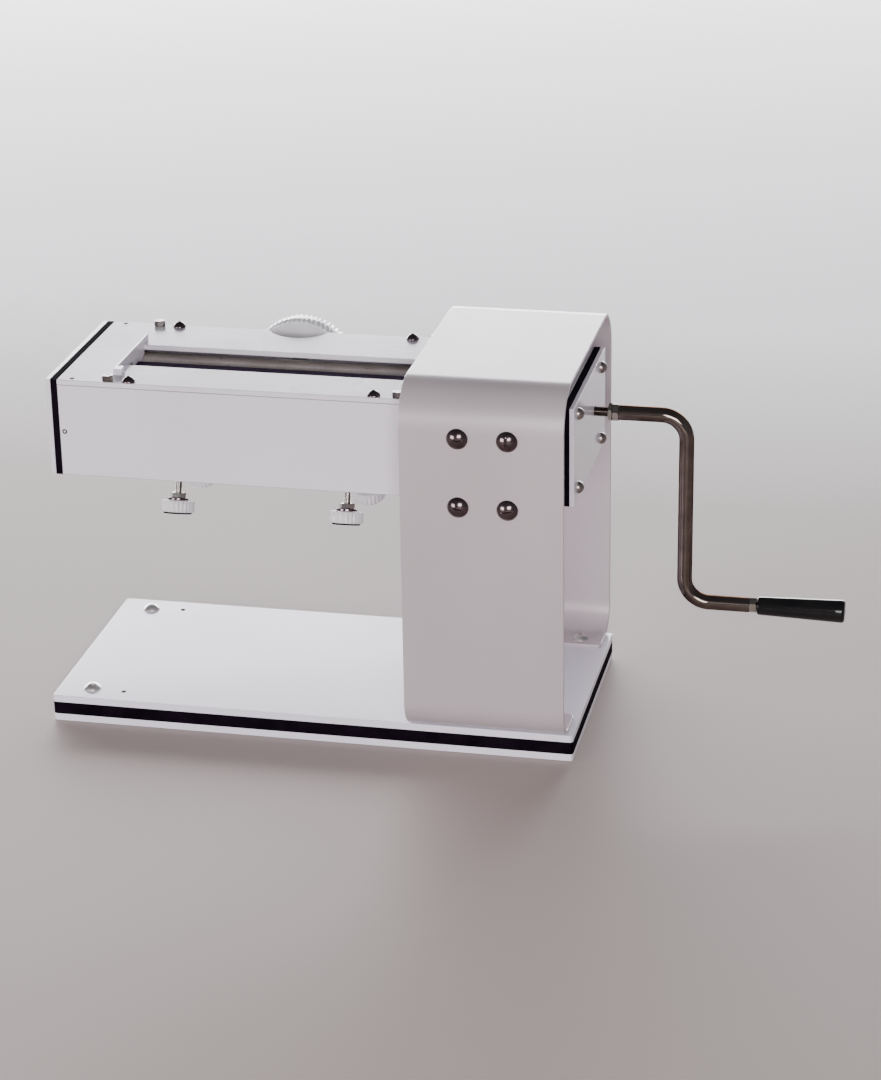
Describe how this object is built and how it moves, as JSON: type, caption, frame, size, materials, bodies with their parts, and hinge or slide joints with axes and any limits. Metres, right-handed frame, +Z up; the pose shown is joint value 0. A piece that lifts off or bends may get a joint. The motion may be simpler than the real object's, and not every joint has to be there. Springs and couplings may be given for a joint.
{
  "type": "pasta roller machine",
  "caption": "Hand-cranked pasta sheet roller: a box head with a feed slot, thickness dial and scraper knobs, carried by a bent sheet tower on a flat base.",
  "frame": {"origin": "middle of the base's flat underside", "axes": "+X along the rollers towards the crank, +Y towards the thickness dial at the back, +Z up"},
  "size_m": [0.6312, 0.2392, 0.3103],
  "materials": {
    "white_sheet": "satin white sheet",
    "black_core": "matt black sheet edge",
    "tower_paint": "satin light grey paint",
    "bright_steel": "polished",
    "brushed_steel": "brushed",
    "dark_screw": "dark polished",
    "roller_steel": "ground",
    "white_moulding": "glossy white",
    "black_grip": "glossy black",
    "pad_rubber": "matt",
    "yoke_aluminium": "milled",
    "gear_steel": "oiled"
  },
  "bodies": {
    "frame": {"rubber_pads": "pad_rubber", "base_bottom_plate": "white_sheet", "base_core": "black_core", "base_top_plate": "white_sheet", "base_screws": "bright_steel", "dowel_pins": "dark_screw", "tower": "tower_paint", "tower_flange_screws": "bright_steel", "tower_bolts": "dark_screw", "tower_spacers": "yoke_aluminium", "tower_nuts": "brushed_steel", "front_plate": "white_sheet", "back_plate": "white_sheet", "top_plate": "white_sheet", "bottom_plate": "white_sheet", "left_cap_outer": "white_sheet", "left_cap_core": "black_core", "left_wall": "white_sheet", "right_wall": "white_sheet", "right_end_wall": "white_sheet", "right_cap_core": "black_core", "right_cap_outer": "white_sheet", "pan_screws": "dark_screw", "top_hex_screws": "brushed_steel", "top_button_screws": "dark_screw", "slot_lip": "black_core", "wall_bushes": "white_moulding", "dial_bush": "gear_steel", "front_wiper": "white_sheet", "rear_wiper": "white_sheet", "stud_bosses": "brushed_steel"},
    "crank": {"rear_roller": "roller_steel", "drive_shaft": "brushed_steel", "rear_gear": "gear_steel", "crank_arm": "brushed_steel", "crank_nuts": "bright_steel", "grip_spindle": "brushed_steel", "grip_nut": "bright_steel"},
    "hand_grip": {"grip": "black_grip"},
    "yoke": {"yoke_left_arm": "yoke_aluminium", "yoke_right_arm": "yoke_aluminium", "yoke_bar": "yoke_aluminium", "yoke_screws": "dark_screw"},
    "pressed_roller": {"front_roller": "roller_steel", "front_shaft": "brushed_steel", "front_gear": "gear_steel"},
    "dial": {"dial_wheel": "white_moulding", "dial_screw": "brushed_steel", "dial_collar": "brushed_steel"},
    "guide": {"width_guide": "white_sheet"},
    "front_left_screw": {"front_left_stud": "brushed_steel"},
    "front_left_handle": {"front_left_knob": "white_moulding"},
    "front_right_screw": {"front_right_stud": "brushed_steel"},
    "front_right_handle": {"front_right_knob": "white_moulding"},
    "rear_left_screw": {"rear_left_stud": "brushed_steel"},
    "rear_left_handle": {"rear_left_knob": "white_moulding"},
    "rear_right_screw": {"rear_right_stud": "brushed_steel"},
    "rear_right_handle": {"rear_right_knob": "white_moulding"}
  },
  "joints": [
    {"name": "crank_spin", "type": "hinge", "parent": "frame", "child": "crank", "pos_m": [0.2, 0.02225, 0.25], "axis": [1, 0, 0], "continuous": true},
    {"name": "grip_spin", "type": "hinge", "parent": "crank", "child": "hand_grip", "pos_m": [0.38, 0.02225, 0.0914], "axis": [1, 0, 0], "continuous": true},
    {"name": "dial_turn", "type": "hinge", "parent": "frame", "child": "dial", "pos_m": [-0.044, 0.08625, 0.25], "axis": [0, 1, 0], "range_deg": [0, 300]},
    {"name": "yoke_slide", "type": "slide", "parent": "frame", "child": "yoke", "axis": [0, -1, 0], "range_m": [0, 0.002]},
    {"name": "front_roller_spin", "type": "hinge", "parent": "yoke", "child": "pressed_roller", "pos_m": [-0.047, -0.03325, 0.25], "axis": [1, 0, 0], "continuous": true},
    {"name": "guide_slide", "type": "slide", "parent": "frame", "child": "guide", "axis": [1, 0, 0], "range_m": [0, 0.06]},
    {"name": "front_left_advance", "type": "slide", "parent": "frame", "child": "front_left_screw", "axis": [0, 0.342, 0.9397], "range_m": [-0.004, 0]},
    {"name": "front_left_turn", "type": "hinge", "parent": "front_left_screw", "child": "front_left_handle", "pos_m": [-0.118, -0.04309, 0.17142], "axis": [0, 0.342, 0.9397], "range_deg": [-1440, 0]},
    {"name": "front_right_advance", "type": "slide", "parent": "frame", "child": "front_right_screw", "axis": [0, 0.342, 0.9397], "range_m": [-0.004, 0]},
    {"name": "front_right_turn", "type": "hinge", "parent": "front_right_screw", "child": "front_right_handle", "pos_m": [0.022, -0.04309, 0.17142], "axis": [0, 0.342, 0.9397], "range_deg": [-1440, 0]},
    {"name": "rear_left_advance", "type": "slide", "parent": "frame", "child": "rear_left_screw", "axis": [0, -0.342, 0.9397], "range_m": [-0.004, 0]},
    {"name": "rear_left_turn", "type": "hinge", "parent": "rear_left_screw", "child": "rear_left_handle", "pos_m": [-0.118, 0.03209, 0.17142], "axis": [0, -0.342, 0.9397], "range_deg": [-1440, 0]},
    {"name": "rear_right_advance", "type": "slide", "parent": "frame", "child": "rear_right_screw", "axis": [0, -0.342, 0.9397], "range_m": [-0.004, 0.007]},
    {"name": "rear_right_turn", "type": "hinge", "parent": "rear_right_screw", "child": "rear_right_handle", "pos_m": [0.022, 0.03209, 0.17142], "axis": [0, -0.342, 0.9397], "range_deg": [-1440, 2520]}
  ],
  "couplings": [
    {"joint": "front_roller_spin", "follows": "crank_spin", "ratio": -1},
    {"joint": "dial_turn", "follows": "yoke_slide", "rad_per_m": 2618},
    {"joint": "front_left_turn", "follows": "front_left_advance", "rad_per_m": 6283.2},
    {"joint": "front_right_turn", "follows": "front_right_advance", "rad_per_m": 6283.2},
    {"joint": "rear_left_turn", "follows": "rear_left_advance", "rad_per_m": 6283.2},
    {"joint": "rear_right_turn", "follows": "rear_right_advance", "rad_per_m": 6283.2}
  ]
}
